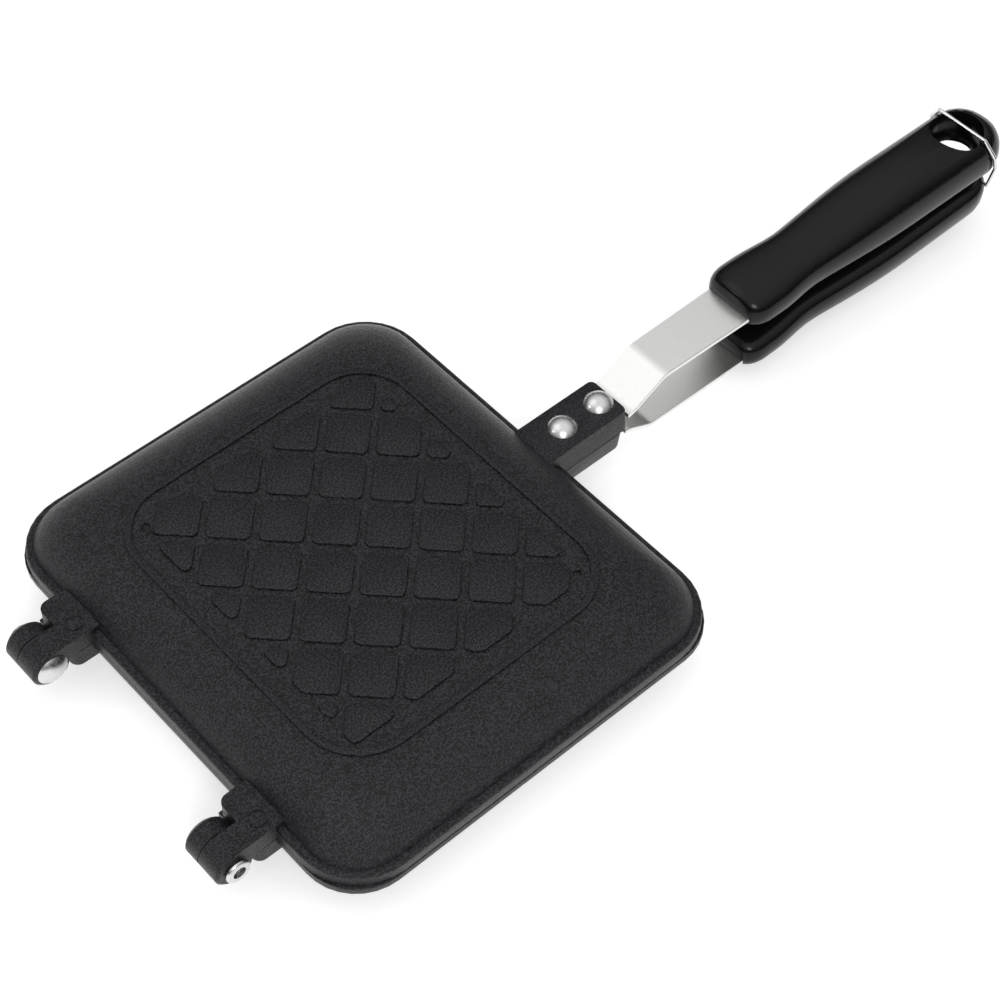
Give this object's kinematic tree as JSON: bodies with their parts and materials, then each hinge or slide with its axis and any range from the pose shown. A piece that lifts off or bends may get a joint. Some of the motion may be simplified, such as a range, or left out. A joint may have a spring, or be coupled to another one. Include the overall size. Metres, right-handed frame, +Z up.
{
  "type": "pie iron",
  "caption": "Hinged double-sided toasting pan: two coated pans close face to face, with riveted steel straps, moulded grips and a wire bail that holds the grips together.",
  "frame": {"origin": "centre of the closed cooking chamber, on the plane where the two pans meet", "axes": "+X from the hinges towards the grips, +Y across the pan, +Z up through the upper pan"},
  "size_m": [0.3403, 0.15, 0.0383],
  "materials": {
    "coating": "matte",
    "strap": "satin",
    "rivet": "satin",
    "grip": "gloss",
    "wire": "polished"
  },
  "bodies": {
    "base": {"lower_pan": "coating", "lower_strap": "strap", "lower_grip": "grip", "lower_rivet_inner": "rivet", "lower_rivet_outer": "rivet", "hinge_pin_near": "rivet", "hinge_pin_far": "rivet"},
    "lid": {"upper_pan": "coating", "upper_strap": "strap", "upper_grip": "grip", "upper_rivet_inner": "rivet", "upper_rivet_outer": "rivet"},
    "bail": {"bail": "wire"}
  },
  "joints": [
    {"name": "lid_hinge", "type": "hinge", "parent": "base", "child": "lid", "pos_m": [-0.0794, 0, 0], "axis": [0, -1, 0], "range_deg": [0, 170]},
    {"name": "bail_swing", "type": "hinge", "parent": "base", "child": "bail", "pos_m": [0.2496, 0, -0.002], "axis": [0, 1, 0], "range_deg": [0, 125]}
  ]
}
